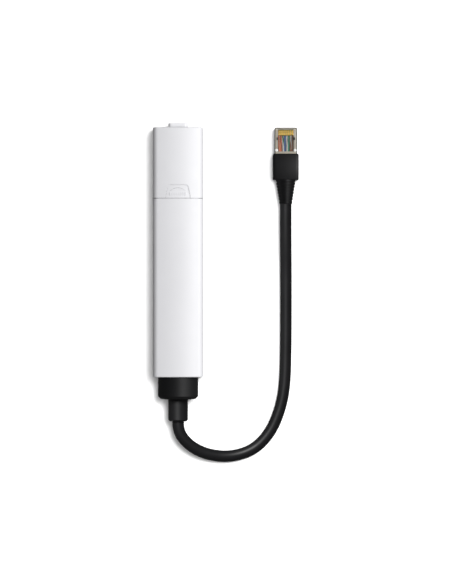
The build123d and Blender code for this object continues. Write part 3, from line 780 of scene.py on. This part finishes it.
node_slots = {
    "main_sleeve": "white_shell",
    "cap_shell": "white_shell",
    "release_tab": "white_shell",
    "pairing_button": "white_button",
    "cap_seal": "seal_rubber",
    "end_collar": "black_collar",
    "strain_relief": "black_rubber",
    "gland_nut": "nut_metal",
    "cable_clamp": "clamp_metal",
    "cable_tail": "cable_jacket",
    "cable_plug_end": "cable_jacket",
    "plug_latch": "clear_latch",
    "main_board": "board_green",
    "lead_header": "header_plastic",
    "lead_plug": "header_plastic",
    "line_transformer_left": "transformer_plastic",
    "line_transformer_right": "transformer_plastic",
    "filter_capacitors": "capacitor_can",
    "power_inductor": "ferrite",
    "power_converter_chip": "chip_black",
    "audio_chip": "chip_black",
    "memory_chip": "chip_black",
    "crystal": "crystal_can",
    "status_led": "led_clear",
    "bluetooth_module": "module_board",
    "module_shield": "shield_metal",
    "module_antenna": "antenna_ceramic",
    "passive_components": "passive_ceramic",
    "switch_body": "switch_plastic",
    "switch_plunger": "plunger_plastic",
    "inner_pair_orange": "wire_orange",
    "inner_pair_green": "wire_green",
    "inner_pair_blue": "wire_blue",
    "inner_pair_brown": "wire_brown",
}
for name, slot in node_slots.items():
    nodes[name].data.materials.clear()
    nodes[name].data.materials.append(materials[slot])

cap_box_low, cap_box_high = node_box("cap_shell")
TAB_BASE = 12.7
TAB_TOP = 10.0
TAB_HEIGHT = 6.7
TAB_CORNER = 1.8
TAB_GAP = 0.3
CROWN = 1.5
HALF_WIDTH = (cap_box_high.x - cap_box_low.x) / 2
CROWN_RADIUS = (HALF_WIDTH**2 + CROWN**2) / (2 * CROWN)
FRONT_Z = cap_box_high.z


def front_height(x):
    """Height of the crowned front at x."""
    return FRONT_Z - CROWN_RADIUS + math.sqrt(CROWN_RADIUS**2 - x**2)


def tab_line(grow, steps=8):
    """Points up one side of the tab, over its rounded top and down the other, moved out by a distance."""
    low = cap_box_low.y
    lean = math.atan2((TAB_BASE - TAB_TOP) / 2, TAB_HEIGHT)
    # centre of the rounded corner: its radius away from the sloping side and from the top
    corner_y = low + TAB_HEIGHT - TAB_CORNER
    side_x = TAB_BASE / 2 - math.tan(lean) * (corner_y - low)
    corner_x = side_x - TAB_CORNER / math.cos(lean)
    reach = TAB_CORNER + grow
    right = [(TAB_BASE / 2 + grow / math.cos(lean), low)]
    for step in range(steps + 1):
        turn = lean + (math.pi / 2 - lean) * step / steps
        right.append((corner_x + reach * math.cos(turn), corner_y + reach * math.sin(turn)))
    return right + [(-x, y) for x, y in reversed(right)]


def tab_gasket():
    """Soft strip in the gap round the tab, fixed to the cap and almost flush with the front."""
    sunk, depth, tab_clearance, cap_clearance = 0.22, 0.3, 0.07, 0.02
    inner, outer = tab_line(tab_clearance), tab_line(TAB_GAP - cap_clearance)
    bm = bmesh.new()
    rows = []
    for (ix, iy), (ox, oy) in zip(inner, outer):
        rows.append(
            [
                bm.verts.new((ix, iy, front_height(ix) - sunk)),
                bm.verts.new((ox, oy, front_height(ox) - sunk)),
                bm.verts.new((ox, oy, front_height(ox) - sunk - depth)),
                bm.verts.new((ix, iy, front_height(ix) - sunk - depth)),
            ]
        )
    ring_faces(bm, rows)
    bm.faces.new(rows[0])
    bm.faces.new(rows[-1])
    return place("tab_gasket", bm, "white_shell", body="cap")


def arrow_shade_line():
    """Grey bead along the upper edge of the arrowhead that is raised on the tab; its darker colour is
    painted shade, for the shade line along that edge.
    """
    tip_x, tip_y, apex_y = 3.8, 3.8, 5.1
    rise = apex_y - tip_y
    arc_radius = (tip_x**2 + rise**2) / (2 * rise)
    centre_y = cap_box_low.y + apex_y - arc_radius
    reach = math.asin(tip_x / arc_radius)
    steps, width = 32, 0.24
    sections = []
    for step in range(steps + 1):
        turn = reach * (2 * step / steps - 1)
        # the bead thins out towards the arrowhead's tips
        wide = width * (0.35 + 0.65 * math.cos(turn / reach * math.pi / 2))
        section = []
        for out, height in ((-0.02, -0.16), (-0.02, 0.03), (wide / 2, 0.05), (wide, -0.06), (wide, -0.16)):
            x = (arc_radius + out) * math.sin(turn)
            y = centre_y + (arc_radius + out) * math.cos(turn)
            section.append((x, y, front_height(x) + height))
        sections.append(section)
    bm = bmesh.new()
    loft(bm, sections)
    return place("arrow_shade_line", bm, "white_shell", body="tab", material=materials["painted_shade_edge"])


def module_pads():
    """Tinned pads down both sides of the radio module, and the end caps of its ceramic antenna."""
    pitch, half, reach, proud = 1.27, 0.38, 0.55, 0.03
    low, high = node_box("bluetooth_module")
    bm = bmesh.new()
    for number in range(int((high.y - low.y - 1) / pitch)):
        y = low.y + 0.9 + number * pitch
        for left, right in ((low.x - proud, low.x + reach), (high.x - reach, high.x + proud)):
            block(bm, (left, y - half, low.z + 0.05), (right, y + half, high.z + proud), 0.05, 1)
    cap_length = 0.7
    low, high = node_box("module_antenna")
    for left, right in ((low.x - proud, low.x + cap_length), (high.x - cap_length, high.x + proud)):
        block(bm, (left, low.y - proud, low.z), (right, high.y + proud, high.z + proud), 0.08)
    return place("module_pads", bm, "module_board", material=materials["tinned_metal"])


def switch_legs():
    """Four bent legs that hold the switch down on the board, each in a bead of solder."""
    width, thickness, foot, bead = 0.6, 0.2, 0.8, 0.32
    low, high = node_box("switch_body")
    board_top = node_box("main_board")[1].z
    bm = bmesh.new()
    for side, x in ((-1, low.x), (1, high.x)):
        for y in (low.y + 1.1, low.y + 2.9):
            near, far = x + side * 0.02, x + side * thickness
            block(
                bm,
                (min(near, far), y - width / 2, board_top),
                (max(near, far), y + width / 2, (low.z + high.z) / 2),
                0.05,
            )
            toe = x + side * foot
            block(
                bm,
                (min(near, toe), y - width / 2, board_top),
                (max(near, toe), y + width / 2, board_top + thickness),
                0.05,
            )
            rings = []
            for grow, height in ((1.0, 0.0), (0.92, 0.12), (0.6, 0.26), (0.15, bead)):
                turns = [2 * math.pi * step / 20 for step in range(20)]
                rings.append(
                    [
                        (toe + 0.55 * grow * math.cos(t), y + 0.5 * grow * math.sin(t), board_top + height)
                        for t in turns
                    ]
                )
            loft(bm, rings)
    return place("switch_legs", bm, "switch_plastic", material=materials["tinned_metal"])


gasket = tab_gasket()
arrow = arrow_shade_line()
pads = module_pads()
legs = switch_legs()
added = [cable, *plug_pieces, gasket, arrow, pads, legs]

# ---- floor and light -----------------------------------------------------------------------------

floor_mesh = bpy.data.meshes.new("floor")
floor_mesh.from_pydata([(-3, -3, 0), (3, -3, 0), (3, 3, 0), (-3, 3, 0)], [], [(0, 1, 2, 3)])
floor = bpy.data.objects.new("floor", floor_mesh)
floor.location = (0, 0, -0.05 * MM)
bpy.context.scene.collection.objects.link(floor)
floor_paint = Maker("floor_paint")
floor_paint.set(Base_Color=(0.86, 0.86, 0.86, 1), Roughness=0.9, Specular_IOR_Level=0.0)
floor_mesh.materials.append(floor_paint.material)
floor.visible_glossy = False
floor.visible_diffuse = False

LAMP_DISTANCE = 1.6


def receivers(name, objects):
    """A collection of the things that a light falls on."""
    group = bpy.data.collections.new(name)
    for obj in objects:
        group.objects.link(obj)
    return group


def soft_light(name, zenith, azimuth, size, watts, only):
    """A square soft box that looks at the object; azimuth 0 is +X and 90 is +Y."""
    data = bpy.data.lights.new(name, "AREA")
    data.shape = "SQUARE"
    data.size = size
    data.energy = watts
    lamp = bpy.data.objects.new(name, data)
    z, a = math.radians(zenith), math.radians(azimuth)
    away = Vector((math.sin(z) * math.cos(a), math.sin(z) * math.sin(a), math.cos(z)))
    lamp.location = VIEW_CENTRE + away * LAMP_DISTANCE
    lamp.rotation_euler = away.to_track_quat("Z", "Y").to_euler()
    bpy.context.scene.collection.objects.link(lamp)
    lamp.light_linking.receiver_collection = only
    return lamp


WHITE_NODES = ("main_sleeve", "cap_shell", "release_tab", "pairing_button")
LEAD_NODES = ("strain_relief", "cable_plug_end", "cable_tail")
white_things = [nodes[name] for name in WHITE_NODES] + [gasket, arrow]
white_things += [piece for piece in plug_pieces if piece not in (boot, nodes["cable_plug_end"])]
lead_things = [nodes[name] for name in LEAD_NODES] + [cable]
lit_apart = white_things + lead_things
dark_things = {piece.name: piece for piece in [*nodes.values(), *added] if piece not in lit_apart}.values()

table_only = receivers("table_only", [floor])
white_only = receivers("white_only", white_things)
dark_only = receivers("dark_only", dark_things)
lead_only = receivers("lead_only", lead_things)

soft_light("table_light", 13.5, 40, 0.48, 37, table_only)
soft_light("table_fill", 2, 40, 1.2, 17, table_only)
soft_light("white_over", 22, 8, 0.5, 12, white_only)
soft_light("white_side", 52, 12, 0.8, 14, white_only)
soft_light("white_fill", 50, 150, 0.8, 2, white_only)
soft_light("dark_over", 25, 8, 0.5, 11, dark_only)
soft_light("dark_side", 52, 12, 0.8, 6, dark_only)
soft_light("lead_over", 26, 105, 0.7, 27, lead_only)

world = bpy.data.worlds.new("studio")
world.use_nodes = True
world.node_tree.nodes["Background"].inputs["Color"].default_value = (1, 1, 1, 1)
world.node_tree.nodes["Background"].inputs["Strength"].default_value = 0.12
bpy.context.scene.world = world
bpy.context.scene.view_settings.view_transform = "Standard"
